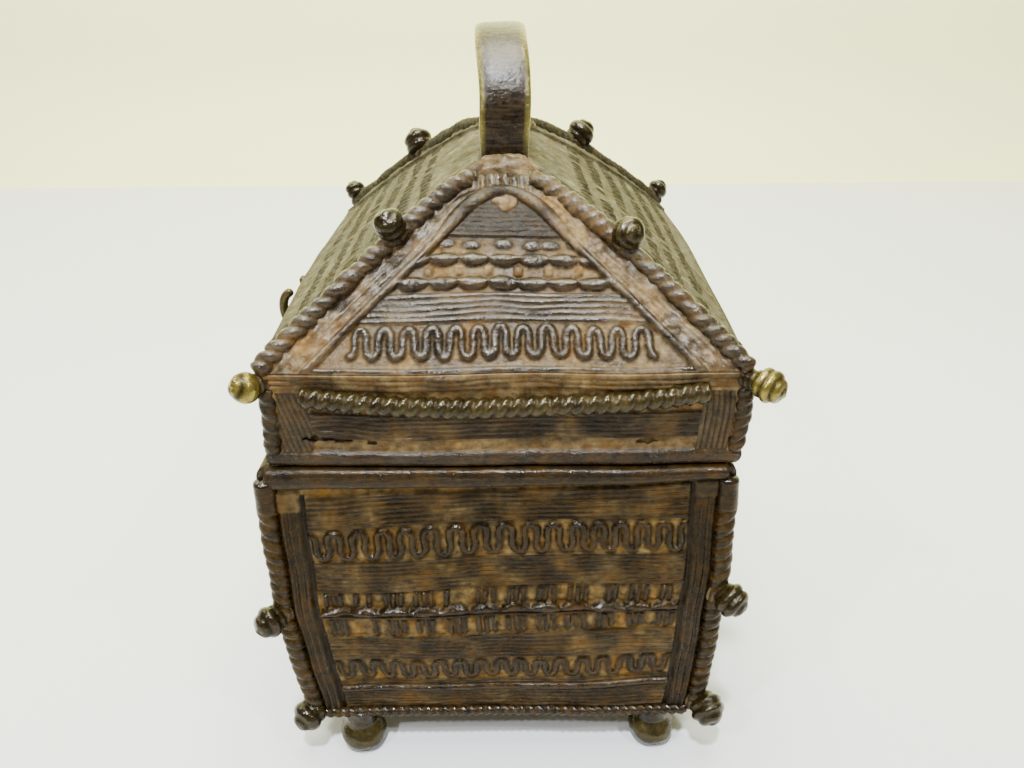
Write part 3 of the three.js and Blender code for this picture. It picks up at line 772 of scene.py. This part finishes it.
bodyKnobs = [  # corner signs, height, radius, how far out, turns of thread, lean of the winding, wear
    (-1, -1, 47.4, 3.9, 3.2, 3.5, (0.2, 0, -0.2), 0.04), (1, -1, 53.0, 4.0, 3.2, 4, (0, 0.2, -0.3), 0.04),
    (1, 1, 49.0, 3.9, 3.2, 3.5, (0, 0, 0.2), 0.1), (-1, 1, 50.6, 4.0, 3.2, 3.5, (0, 0, 0.2), 0.1),
    (-1, -1, 12.4, 4.3, 1.9, 3, (0.3, 0, -0.4), 0.06), (1, -1, 15.2, 4.4, 3.2, 4.5, (-0.2, -0.2, -0.5), 0.04),
    (1, 1, 13.4, 4.3, 2.8, 4, (0, 0, -0.3), 0.1), (-1, 1, 14.0, 4.3, 2.8, 4, (0, 0, -0.3), 0.1),
]
for n, (x, y, z, radius, out, turns, lean, worn) in enumerate(bodyKnobs):
    root = shapeBox(np.array([[x * (box["halfWidth"] - 1), y * (box["halfLength"] - 1), z]]))[0]
    centre = root + np.array([x, y, 0]) * (out + 1)
    place = ("mid_" if n < 4 else "low_") + cornerNames[n % 4]
    bodyPieces += coilKnob("knob_" + place, root, centre, radius, turns, lean, rubbedBrass, n, worn)

footShape = [  # radius and height
    (0, 0), (1.6, 0), (3.1, 0.12), (4.5, 0.6), (5.6, 1.5), (6.2, 2.7), (6.3, 3.9),
    (5.9, 5.1), (5.1, 6.1), (4.2, 6.9), (3.7, 7.7), (3.6, 9), (3.6, 12.4), (0, 12.5),
]
feet = [(-37.2, -57.6), (38.8, -56.4), (38.0, 56.8), (-38.0, 57.0)]


def makeFoot(name, x, y, seed):
    shape = np.array(footShape)
    around, rows = 36, 34
    run = np.concatenate([[0], np.cumsum(np.linalg.norm(np.diff(shape, axis=0), axis=1))])
    at = np.linspace(0, 1, rows + 1) * run[-1]
    rs, zs = np.interp(at, run, shape[:, 0]), np.interp(at, run, shape[:, 1])

    def place(angle, j):
        out = rs[j] * (1 - 0.03 * (1 + np.sin(2 * angle + seed)) - 0.02 * (1 + np.sin(5 * angle + zs[j])))
        p = np.stack([x + out * np.cos(angle), y + out * np.sin(angle), zs[j]], -1)
        # painted shade: reliefAndShade rises with height, so the foot darkens towards its bottom
        return p, (0.4 + zs[j] / 9, 0.06, 0.1 * (zs[j] > 3) * (zs[j] < 7.5))

    return wrap(name, around, rows, place, rubbedBrass)


for n, (x, y) in enumerate(feet):
    bodyPieces.append(makeFoot("foot_" + cornerNames[n], x, y, n))
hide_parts("casket_body")
print("body made")


# lid

skirts = {
    "rows": [
        ("threads", 0, 3.7), ("plain", 3.7, 9, {"clay": 0.9, "base": 0.2}),
        ("threads", 9, 15.4, {"base": 0.35}),
        ("plain", 15.5, 18.2, {"base": 0.1, "clay": 0.75}), ("roll", 18.2, 22, {"proud": 1.3, "clay": 0.15}),
    ],
    # splits in the casting: how far across and down, and half their length
    "slits": [(-39.0, 15.3, 3.4), (-34.0, 15.7, 1.8), (-28.0, 16.0, 1.0), (30.0, 16.3, 2.4)],
    "drop": 21.9, "strip": 7.0, "margin": 2.4,
}


def skirtPanel(name, side, fineness, seed, slits=()):
    span, reach = spanReach(roof, side)
    strip = skirts["strip"]
    inner = span - skirts["margin"] - strip
    xs = columnPlaces(span, inner, strip, 24 if fineness < 0.5 else 18, int(2 * inner / fineness))
    rows = int(round(skirts["drop"] / threadPitch * (4 if fineness < 0.5 else 3)))

    def place(i, j, back):
        x, q = xs[i], skirts["drop"] * (1 - j / rows)
        skin = layRows(x, q, skirts["rows"], seed, inner)
        # extra clay in the top band is a painted sheen: it lightens the threads like the glossy slope above
        skin[2] = skin[2] + 0.35 * (q < 3.8)
        edge = np.abs(x)
        lower = smooth((q - 4.5) / 3) * (q < 18.2)
        lean = 0.3 * (q - 11) * ((x < 0) & (side == 0))  # the left strip of the near side runs aslant
        f = (edge - inner + lean) / strip * 6
        k = np.floor(f)
        ridge = ridged(f, k)
        faded = np.clip(0.8 + 0.4 * wobble(q, k * 5 + np.sign(x) * 9, 6, seed + 3), 0.2, 1.1)
        inStrip = (edge > inner) & (edge < inner + strip) & (lower > 0)
        skin = put(skin, inStrip, (0.5 + 0.42 * ridge * faded) * lower, 0.2 + 0.8 * ridge * faded, 0.12)
        for at, down, half in slits:
            middle = down + 0.35 * wobble(x, 0 * x, 1.3, 6)
            slit = 0.6 * np.sqrt(np.clip(1 - ((x - at) / half) ** 2, 0, 1))
            slit = slit * (1 + 0.7 * wobble(x, 0 * x, 1.1, 5))
            skin = put(skin, np.abs(q - middle) < slit, -0.9, 0, 0)
        h, reliefAndShade, clay = skin
        h, reliefAndShade = lerp(0.45, h, smooth(q / 0.9)), lerp(0.8, reliefAndShade, smooth(q / 0.9))
        bow = roof["bow"] * (1 - (x / span) ** 2) * (side % 2)
        out = reach + bow - roof["flare"] * q / skirts["drop"] + np.where(back, -1.4, h)
        drop = q + 0.35 * wobble(x, q, 16, seed + 7) * smooth(q / 5) * smooth((skirts["drop"] - q) / 4)
        p = turned(side, x, out, roof["eave"] - drop)
        p[:, 0] += roof["shift"]
        return p, (reliefAndShade, clay, 0)

    return drape(name, len(xs) - 1, rows, place, skirtBrass)


dashes = {"pitch": 3.3, "wires": 1, "spread": 0, "thick": 0.64, "plug": 0.0, "rise": 0.65, "miss": 0.12}
endCrimp = {"pitch": 6.2, "thick": 1, "rise": 1.3}
slopes = {
    "endRows": [
        ("threads", 0.0, 1.2), ("meander", 2.5, 9.6, {"pitch": 4.75, "left": -31, "right": 31, "curl": 1.62}),
        ("threads", 9.9, 16.0, {"depth": 0.4}), ("crimp", 16.3, 19.9, endCrimp),
        ("comb", 19.4, 22.2, {"pitch": 6.2, "wires": 0, "plug": 0.8}), ("crimp", 21.6, 25.3, endCrimp),
        ("bumps", 25.6, 28.6, {"pitch": 5.4}), ("threads", 28.8, 37.0, {"depth": 0.2}),
        ("plain", 37.0, 46.2, {"clay": 0.1}),
    ],
    "longRows": [
        ("threads", 0.0, 2.2), ("plain", 2.2, 5.8, {"base": 0.25, "clay": 0.8}), ("comb", 6.0, 9.2, dashes),
        ("plain", 9.4, 12.2, {"clay": 0.75}), ("comb", 12.4, 15.6, dashes),
        ("plain", 15.8, 17.8, {"clay": 0.8}),
        ("comb", 18.0, 21.2, dashes), ("threads", 21.4, 24.4, {"depth": 0.25}), ("comb", 24.6, 27.8, dashes),
        ("plain", 28.0, 30.4, {"clay": 0.8}), ("comb", 30.6, 33.8, dashes),
        ("plain", 34.0, 36.4, {"clay": 0.75}), ("comb", 36.6, 39.6, dashes),
        ("plain", 39.8, 54.0, {"base": 0.35, "clay": 0.8}),
    ],
    "arch": [  # the inner ridge of the end: how far up, and how far from the middle
        (0, 40.4), (24, 17.5), (28.1, 13.9), (31.7, 11.2), (35, 8.9), (37.5, 6.7), (39.3, 4.6), (40.5, 2.5),
        (41, 0),
    ],
    "strip": 9.2, "endLength": 46.2, "longLength": 54.0,
}


def slopePanel(name, side, fineness, seed, arch=False):
    end = side % 2 == 0
    length = slopes["endLength" if end else "longLength"]
    half0, _ = spanReach(roof, side)
    columns = int(2 * (half0 - 10) / fineness)
    shares = columnPlaces(1.0, 0.72, 0.26, 28 if fineness < 0.5 else 21, columns)
    rows = int(round(length / threadPitch * (4 if fineness < 0.5 else 3)))
    straight = [(0, half0 - slopes["strip"]), (length, roof["ridgeHalfLength"] - slopes["strip"])]
    bend = np.array(slopes["arch"] if end else straight)

    def place(i, j, back):
        t = j / rows
        q = t * length
        half = roofLevel(t)[0 if end else 1]
        # the two inner ridges of an end meet in a round arch near the top
        inner = np.interp(q, bend[:, 0], bend[:, 1]) if end else half - slopes["strip"]
        s = shares[i]
        a = np.abs(s)
        edge = np.where(a > 0.72, lerp(inner, half, (a - 0.72) / 0.28), a / 0.72 * inner)
        edge = lerp(edge, a * half, smooth((q - 32) / 6) * end)
        x = np.sign(s) * edge
        skin = layRows(x, q, slopes["endRows" if end else "longRows"], seed, half0 - slopes["strip"])
        if arch:  # a round lump of metal stands under the arch
            far = np.hypot(x, q - 37.6)
            ball = 1 - ((x - 0.6) ** 2 / 9 + (q - 37.6) ** 2 / 5) + 0.5 * wobble(x, q, 1.5, 3) * (far < 4)
            ball = np.clip(ball, 0, 1)
            h, reliefAndShade, clay = skin
            # above the threads the end is darker and duller, except on the lump: less clay, and lower
            # reliefAndShade
            clay = np.where((q > 28) & (ball < 0.1), 0.2 * clay, clay)
            reliefAndShade = np.maximum(reliefAndShade, 0.95 * (ball > 0))
            reliefAndShade = reliefAndShade * (1 - 0.78 * smooth((q - 26) / 5) * (1 - smooth(2 * ball)))
            clay = np.where(ball > 0.1, 0.35 * smooth(2 * ball), clay)
            skin = [np.maximum(h, 1.1 * np.sqrt(ball)), reliefAndShade, clay]
        inStrip = edge > inner
        gap = np.full(x.shape, 9.0)
        for hand in (-1, 1):
            line = evenPath(np.stack([hand * bend[:, 1], bend[:, 0], 0 * bend[:, 0]], -1), 1.2)[:, :2]
            close = np.nonzero(np.sign(x + hand * 0.01) == hand)[0]
            gap[close] = np.minimum(gap[close], wireGap(x[close], q[close], line))
        f = np.where(gap > 1.4, np.abs(edge - inner) * 0.72, gap) / 1.2
        k = np.floor(f)
        ridge = ridged(f, k)
        faded = np.clip(0.55 + 0.6 * wobble(q, k * 5 + np.sign(x) * 9, 7, seed + 3), 0.05, 1.1)
        lumps = 0.34 * wobble(x, q, 3.2, seed + 14) + 0.3 * wobble(x, q, 1.3, seed + 15)
        dirt = 0.42 + 0.3 * wobble(x, q, 4, seed + 17) - 0.3 * smooth((q - 34) / 4) * ridge if end else 0.5
        rise = 0.5 + lumps + (0.34 + 0.3 * smooth((q - 33) / 4) * end) * ridge * faded
        h, reliefAndShade, clay = put(skin, inStrip, rise, 0.6 + 0.4 * ridge * faded + lumps, dirt)
        # painted shade in the groove beside the bead
        reliefAndShade = np.where((gap > 0.7) & (gap < 1.3) & ~inStrip, reliefAndShade * 0.6, reliefAndShade)
        # the raised ridge beside the hip
        bead = np.sqrt(np.clip(1 - (gap / (0.85 + 0.75 * smooth((q - 26) / 8) * end)) ** 2, 0, 1))
        h = np.maximum(h, (0.45 + 0.95 * bead * (0.9 + 0.2 * wobble(x, q, 4, seed + 16))) * (bead > 0))
        # the bead is darker and less glossy in patches and towards the top of the end
        beadFade = 0.8 + 0.3 * wobble(x, q, 3.5, seed + 18) - 0.35 * smooth((q - 26) / 8) * end
        reliefAndShade = np.where(bead > 0, (0.35 + 0.65 * bead) * beadFade, reliefAndShade)
        clay = np.where(bead > 0.3, 0.14 + 0.3 * wobble(x, q, 5, seed + 19), clay)
        h, reliefAndShade = lerp(0.45, h, smooth(q / 0.9)), lerp(0.8, reliefAndShade, smooth(q / 0.9))
        climb = t + 0.004 * wobble(x, q, 12, seed + 6) * smooth(q / 4) * smooth((length - q) / 4)
        return onRoof(side, x / half, climb, np.where(back, -1.4, h)), (reliefAndShade, clay, 0)

    return drape(name, len(shares) - 1, rows, place, lidSheenBrass if end else slopeSheenBrass)


lidPieces = [
    skirtPanel("near_skirt", 0, 0.36, 101, skirts["slits"]),
    skirtPanel("right_skirt", 1, 0.6, 113),
    skirtPanel("far_skirt", 2, 0.6, 127),
    skirtPanel("left_skirt", 3, 0.6, 131),
    slopePanel("near_slope", 0, 0.36, 151, True),
    slopePanel("right_slope", 1, 0.56, 163),
    slopePanel("far_slope", 2, 0.6, 177),
    slopePanel("left_slope", 3, 0.56, 181),
]
print("lid relief made")


def lidCoreShape(co, half):
    # half holds how far the core stays inside the skin
    skirtTop = -0.4
    out = np.empty_like(co)
    z = (co[:, 2] - roof["bottom"]) / 50 * 2 - 1
    low = np.clip((z + 1) / (skirtTop + 1), 0, 1)
    t = np.clip((z - skirtTop) / (1 - skirtTop), 0, 1)
    halfWidth, halfLength, level = roofLevel(t)
    bow = roof["bow"] * (1 - co[:, 1] ** 2) * (1 - t)
    out[:, 0] = co[:, 0] * (halfWidth + bow - roof["flare"] * (1 - low) - half) + roof["shift"]
    out[:, 1] = co[:, 1] * (halfLength - roof["flare"] * (1 - low) - half)
    skirt = lerp(roof["bottom"] + 0.1, roof["eave"] - half * 0.8, low)
    out[:, 2] = np.where(t > 0, level - half * 0.8, skirt)
    return out


low = roof["bottom"]
lidCore = core("lid_core", 0.5, low, low + 50, False, lidCoreShape, 9, box["wall"] - 0.6)
lidPieces.append(lidCore)

eaveRope = {"radius": 2.35, "middle": 7.4, "ends": 4.7, "inset": 7.5, "out": 0.95, "pitch": 5.2, "step": 0.4}
for side in range(4):
    span, reach = spanReach(roof, side)
    s = np.linspace(-1, 1, 25)
    across = s * (span - eaveRope["inset"])
    down = eaveRope["middle"] + (eaveRope["ends"] - eaveRope["middle"]) * s * s
    if side == 0:
        down = down - 0.8 * s * (s > 0)
    bow = roof["bow"] * (1 - (across / span) ** 2) * (side % 2)
    points = turned(side, across, reach + bow + eaveRope["out"], roof["eave"] - down)
    points[:, 0] += roof["shift"]
    step = eaveRope["step"]
    path = evenPath(points, step)
    rope = twist(eaveRope["radius"], eaveRope["pitch"], step, 200 + side, 0.07, 0.42, 0.45, -1, 0.35)
    lidPieces.append(sweep("eave_rope_" + sideNames[side], path, 16, rope, rubbedBrass))

hipRope = {"stand": 0.75, "step": 0.5}
for n, (x, y) in enumerate(corners):
    points = hipPoint(x, y, np.linspace(0.0, 1.0, 24), hipRope["stand"])
    points[-3:, 2] -= [0.1, 0.35, 0.8]  # the end sinks into the ridge
    path = evenPath(points, hipRope["step"])
    near = y < 0
    radius, pitch = (2.15, 6.0) if near else (1.95, 4.0)
    rope = twist(radius, pitch, hipRope["step"], 210 + n, 0.0, 0.27, 0.5, x * y, 2.2)
    lidPieces.append(sweep("hip_rope_" + cornerNames[n], path, 16, rope, lidSheenBrass if near else slopeSheenBrass))
    z = np.linspace(roof["eave"] - 19.5, roof["eave"] - 3.0, 12)
    out = x * (roof["halfWidth"] - 0.6) + roof["shift"] + 0 * z, y * (roof["halfLength"] - 0.6) + 0 * z
    rope = twist(2.0, 6.0, 0.5, 220 + n, 0.0, 0.4, hand=-x * y)
    path = evenPath(np.stack([*out, z], -1), 0.5)
    lidPieces.append(sweep("skirt_rope_" + cornerNames[n], path, 16, rope, skirtBrass))

eaveKnobs = [
    (-1, -1, roof["eave"] - 1.8, 3.3, 2.3, 2, (0, 0, 0.3), 0.95, 0.05),
    (1, -1, roof["eave"] - 1.6, 3.7, 3.1, 4.5, (0.3, -0.2, -0.1), 0.75, 0.16),
]
for n, (x, y, z, radius, out, turns, lean, worn, depth) in enumerate(eaveKnobs):
    root = np.array([x * (roof["halfWidth"] - 1.5) + roof["shift"], y * (roof["halfLength"] - 1.5), z])
    centre = root + np.array([x, y, 0]) * (out + 1.5)
    name = "knob_eave_" + cornerNames[n]
    lidPieces += coilKnob(name, root, centre, radius, turns, lean, rubbedBrass, n, worn, depth)
hipKnobs = [
    (-1, -1, 0.64, 3.5, 3, (0.1, 0, 0), 0.03), (1, -1, 0.59, 3.5, 4, (0, -0.7, -0.2), 0.12),
    (1, 1, 0.67, 4.3, 3, (0, 0, 0), 0.03), (-1, 1, 0.59, 4.3, 3, (0, 0, 0), 0.03),
    (1, 1, 0.05, 3.3, 3, (0, 0, 0), 0.03), (-1, 1, 0.06, 3.3, 3, (0, 0, 0), 0.03),
]
for n, (x, y, t, radius, turns, lean, worn) in enumerate(hipKnobs):
    root, centre = hipPoint(x, y, t, -1.5), hipPoint(x, y, t, 4.0)
    lidPieces += coilKnob(f"knob_hip_{n}", root, centre, radius, turns, lean, rubbedBrass, n, worn)

strap = {
    "width": 11.6, "footWidth": 10.6, "thickness": 3.0, "span": 41.0, "height": 28.3, "legs": 8.0,
    "sink": 1.4, "shift": 0.5, "lean": 0.05, "curve": 0.7,
}


def makeStrap():
    middle = strap["span"] / 2 - strap["thickness"] / 2
    rise = strap["height"] - strap["legs"] - strap["thickness"] / 2
    ridge = roof["eave"] + roof["rise"]
    line = [(middle, -strap["sink"]), (middle, 2.5), (middle, strap["legs"] - 2)]
    for a in np.linspace(0, math.pi, 19):
        line.append((middle * math.cos(a), strap["legs"] + rise * math.sin(a)))
    line += [(-middle, strap["legs"] - 2), (-middle, 2.5), (-middle, -strap["sink"])]
    path = evenPath([(0, -y, z) for y, z in line], 0.7)
    steps = len(path) - 1
    around = 40
    ahead = np.gradient(path, axis=0)
    ahead /= np.linalg.norm(ahead, axis=1)[:, None]
    outward = np.cross(ahead, [1.0, 0, 0])
    shut = np.ones(steps + 1)
    shut[[0, -1]] = 0

    def place(angle, j):
        c, s = np.cos(angle), np.sin(angle)
        share = smooth(path[j][:, 2] / (strap["height"] / 2))
        halfWide = lerp(strap["footWidth"], strap["width"], share) / 2
        a = np.sign(c) * np.abs(c) ** 0.42 * halfWide * (1 + 0.015 * np.sin(j / 5.0))
        dished = 1 - 0.22 * (a / halfWide) ** 2 + 0.04 * np.sin(j / 3.3 + a / 2)
        b = np.sign(s) * np.abs(s) ** 0.5 * strap["thickness"] / 2 * dished
        p = path[j] + shut[j][:, None] * (a[:, None] * np.array([1.0, 0, 0]) + b[:, None] * outward[j])
        z = p[:, 2].copy()
        bent = strap["curve"] * np.sin(math.pi * np.clip(z, 0, None) / strap["height"])
        p[:, 0] += strap["shift"] - strap["lean"] * z + bent + roof["shift"]
        p[:, 2] += ridge
        rim = np.clip((np.abs(a) / halfWide - 0.72) / 0.25, 0, 1)
        crown = smooth((path[j][:, 2] - 18) / 9) * (s > -0.2)
        worn = np.clip(rim * smooth(z / 10) + 0.5 * crown, 0, 1)
        near = (path[j][:, 1] < 0) * (s > 0)
        scratch = near * np.exp(-(((z - 6.2 - 0.4 * a) / 0.55) ** 2)) * (np.abs(a) < 4)
        rust = near * np.exp(-((a - 2.4) ** 2 + (z - 4.2) ** 2) / 3)
        return p, (0.95 - 0.7 * scratch, 0.5 * smooth((2.5 - z) / 3) + 0.6 * rust, 0.85 * worn)

    return wrap("strap_handle", around, steps, place, strapBrass)


lidPieces.append(makeStrap())

strapRoot = {"width": 8.2, "length": 4.6, "height": 3.6, "at": 23.6, "sink": 0.3}


def makeRoot(name, y, seed):  # the lumpy metal round each foot of the strap
    around, rows = 48, 26

    def place(angle, j):
        polar = math.pi * j / rows
        c, s = np.cos(angle) * np.sin(polar), np.sin(angle) * np.sin(polar)
        lump = 1 + 0.13 * wobble(5 * c + seed, 5 * s, 1.1, seed)
        lump = lump + 0.06 * wobble(9 * c, 9 * s + 4 * np.cos(polar), 0.8, seed + 1)
        lump = np.where((j == 0) | (j == rows), 1, lump)
        across = strapRoot["width"] * c * lump + roof["shift"] + 0.3
        along = y * strapRoot["at"] + strapRoot["length"] * s * lump
        z = roof["eave"] + roof["rise"] - strapRoot["sink"] + strapRoot["height"] * np.cos(polar) * lump
        # painted shade: darker where the lump dips
        reliefAndShade = 0.2 + 0.75 * smooth((lump - 0.85) / 0.25)
        return np.stack([across, along, z], -1), (reliefAndShade, 0.75 - 2.2 * (lump - 1), 0)

    return wrap(name, around, rows, place, lidSheenBrass)


lidPieces += [makeRoot("strap_root_near", -1, 301), makeRoot("strap_root_far", 1, 302)]

clasp = {
    "y": -11.0, "radius": 1.15, "pegY": -1.5,
    "bar": [(-53.7, 109.0), (-55.7, 107.4), (-56.7, 104.6), (-56.5, 101.2), (-54.8, 97.6), (-50.2, 95.4)],
    "stub": [(-48.6, 102.6), (-52.5, 103.0), (-56.4, 103.6)],
    "peg": [(-48.6, 107.0), (-51.5, 107.6), (-54.4, 108.2)],
}


def rod(name, line, y, radius, material, bead=0.0):
    path = evenPath([(x + roof["shift"], y, z) for x, z in line], 0.35)
    steps = len(path) - 1

    def section(angle, j):
        r = radius * (1 + bead * np.exp(-(((steps - 3 - j) * 0.35 / 1.3) ** 2)))
        return r * np.cos(angle), r * np.sin(angle), 0.9, 0.1, 0.12

    return sweep(name, path, 16, section, material, blunt=3)


lidPieces += [
    rod("clasp_bar", clasp["bar"], clasp["y"], clasp["radius"], rubbedBrass),
    rod("clasp_stub", clasp["stub"], clasp["y"], 1.3, rubbedBrass),
    rod("clasp_peg", clasp["peg"], clasp["pegY"], 0.9, rubbedBrass, 0.55),
]
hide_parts("lid")
print("lid made")


# floor, light and camera

def stageMaterial(name, colour, rough):
    material = bpy.data.materials.new(name)
    material.use_nodes = True
    shader = material.node_tree.nodes["Principled BSDF"]
    shader.inputs["Base Color"].default_value = (*colour, 1)
    shader.inputs["Roughness"].default_value = rough
    return material


def makeStage(name, start, route, material):
    mesh = bmesh.new()
    ends = [mesh.verts.new((-2.5, *start)), mesh.verts.new((2.5, *start))]
    edges = [mesh.edges.new(ends)]
    y, z = start
    for nextY, nextZ in route:
        made = bmesh.ops.extrude_edge_only(mesh, edges=edges)
        edges = [g for g in made["geom"] if isinstance(g, bmesh.types.BMEdge)]
        fresh = [g for g in made["geom"] if isinstance(g, bmesh.types.BMVert)]
        bmesh.ops.translate(mesh, verts=fresh, vec=(0, nextY - y, nextZ - z))
        y, z = nextY, nextZ
    bmesh.ops.recalc_face_normals(mesh, faces=mesh.faces)
    toObject(name, mesh, material)


makeStage("floor", (-2.2, 0.0), [(0.5, 0.0)], stageMaterial("pale_floor", (0.76, 0.76, 0.755), 0.85))
bend = [(0.5 + 0.1 * math.sin(a), 0.1 - 0.1 * math.cos(a)) for a in np.linspace(0, math.pi / 2, 9)[1:]]
cream = stageMaterial("cream_backdrop", (0.92, 0.93, 0.5), 0.9)
makeStage("backdrop", (0.5, 0.0), [*bend, (0.6, 1.1)], cream)

lamps = [  # place, where it points, size, power, colour
    ((-0.06, -0.42, 1.02), (0, 0, 0.08), 0.07, 18.0, (0.86, 0.93, 1.0)),
    ((-0.45, -0.5, 0.7), (0, 0, 0.08), 0.045, 4.0, (0.9, 0.95, 1.0)),
    ((0.5, -0.45, 0.8), (0, 0, 0.08), 0.05, 3.5, (0.95, 0.97, 1.0)),
    ((-0.8, 0.25, 0.8), (0, 0, 0.1), 0.4, 4.5, (1.0, 0.98, 0.9)),
    ((0.0, 0.1, 1.1), (0, 0.6, 0.45), 0.6, 26.0, (1.0, 0.98, 0.76)),
]
for n, (at, aim, size, power, colour) in enumerate(lamps):
    light = bpy.data.lights.new(f"softbox_{n}", "AREA")
    light.size = size
    light.energy = power
    light.color = colour
    lamp = bpy.data.objects.new(f"softbox_{n}", light)
    lamp.location = at
    lamp.rotation_euler = (Vector(aim) - Vector(at)).to_track_quat("-Z", "Y").to_euler()
    bpy.context.collection.objects.link(lamp)
world = bpy.data.worlds.new("room")
world.use_nodes = True
world.node_tree.nodes["Background"].inputs["Color"].default_value = (1.0, 0.98, 0.9, 1)
world.node_tree.nodes["Background"].inputs["Strength"].default_value = 0.3
bpy.context.scene.world = world

lens = {
    "place": (0.003026, -0.20807, 0.1877), "pitch": 28.33, "yaw": -0.04, "roll": -0.405,
    "focal": 830 / 1024 * 36,
}
cameraData = bpy.data.cameras.new("camera")
cameraData.lens = lens["focal"]
cameraData.clip_start = 0.01
camera = bpy.data.objects.new("camera", cameraData)
pitch, yaw, roll = (math.radians(lens[k]) for k in ("pitch", "yaw", "roll"))
forward = Vector((math.sin(yaw) * math.cos(pitch), math.cos(yaw) * math.cos(pitch), -math.sin(pitch)))
right = Vector((math.cos(yaw), -math.sin(yaw), 0))
up = right.cross(forward)
right, up = right * math.cos(roll) + up * math.sin(roll), up * math.cos(roll) - right * math.sin(roll)
camera.matrix_world = Matrix.Translation(lens["place"]) @ Matrix((right, up, -forward)).transposed().to_4x4()
bpy.context.collection.objects.link(camera)
bpy.context.scene.camera = camera
print("stage made")
